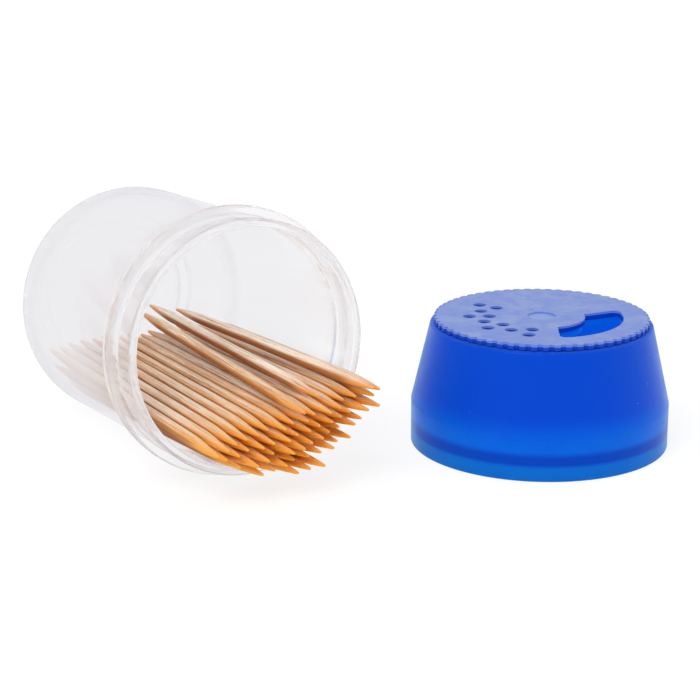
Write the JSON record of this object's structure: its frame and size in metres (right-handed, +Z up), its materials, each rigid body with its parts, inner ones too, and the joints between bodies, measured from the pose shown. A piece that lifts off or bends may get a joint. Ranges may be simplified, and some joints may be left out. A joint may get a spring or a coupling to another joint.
{
  "type": "toothpick dispenser",
  "caption": "Clear round jar lying on its side with wooden toothpicks fanning out of its mouth, and its blue snap cap with a turning dial standing beside it.",
  "frame": {"origin": "on the ground, under the middle of the box round the whole object", "axes": "+Z up, +X from the jar to the cap, -Y the way the jar's mouth faces"},
  "size_m": [0.1145, 0.0972, 0.0524],
  "materials": {
    "clear_plastic": "clear, polished",
    "blue_plastic": "slightly translucent, satin",
    "blue_plastic_dial": "slightly translucent, satin, softer on top",
    "pick_wood": "bare, tumbled"
  },
  "bodies": {
    "jar": {"jar": "clear_plastic"},
    "heap": {"pick_row_1": "pick_wood", "pick_row_2": "pick_wood", "pick_row_3": "pick_wood", "pick_row_4": "pick_wood", "pick_top_01": "pick_wood", "pick_top_02": "pick_wood", "pick_top_03": "pick_wood", "pick_top_04": "pick_wood", "pick_top_05": "pick_wood", "pick_top_06": "pick_wood", "pick_top_07": "pick_wood", "pick_top_08": "pick_wood", "pick_top_09": "pick_wood", "pick_top_10": "pick_wood", "pick_top_11": "pick_wood", "pick_top_12": "pick_wood", "pick_top_13": "pick_wood", "pick_top_14": "pick_wood", "pick_top_15": "pick_wood", "pick_top_16": "pick_wood"},
    "pick_loose_1": {"pick_loose_1": "pick_wood"},
    "pick_loose_2": {"pick_loose_2": "pick_wood"},
    "pick_loose_3": {"pick_loose_3": "pick_wood"},
    "cap": {"cap": "blue_plastic"},
    "dial": {"dial": "blue_plastic_dial"}
  },
  "joints": [
    {"name": "heap_slide", "type": "slide", "parent": "jar", "child": "heap", "axis": [0, -0.9988, 0.0491], "range_m": [0, 0.018]},
    {"name": "pick_loose_1_draw", "type": "slide", "parent": "heap", "child": "pick_loose_1", "axis": [0.0396, -0.9971, -0.0652], "range_m": [0, 0.055]},
    {"name": "pick_loose_2_draw", "type": "slide", "parent": "heap", "child": "pick_loose_2", "axis": [0.0618, -0.9969, -0.049], "range_m": [0, 0.055]},
    {"name": "pick_loose_3_draw", "type": "slide", "parent": "heap", "child": "pick_loose_3", "axis": [0.1431, -0.9894, -0.0239], "range_m": [0, 0.055]},
    {"name": "cap_lift", "type": "slide", "parent": "jar", "child": "cap", "axis": [0, 0, 1], "range_m": [0, 0.06]},
    {"name": "dial_turn", "type": "hinge", "parent": "cap", "child": "dial", "pos_m": [0.03125, -0.0226, 0.0247], "axis": [0, 0, 1], "continuous": true}
  ]
}
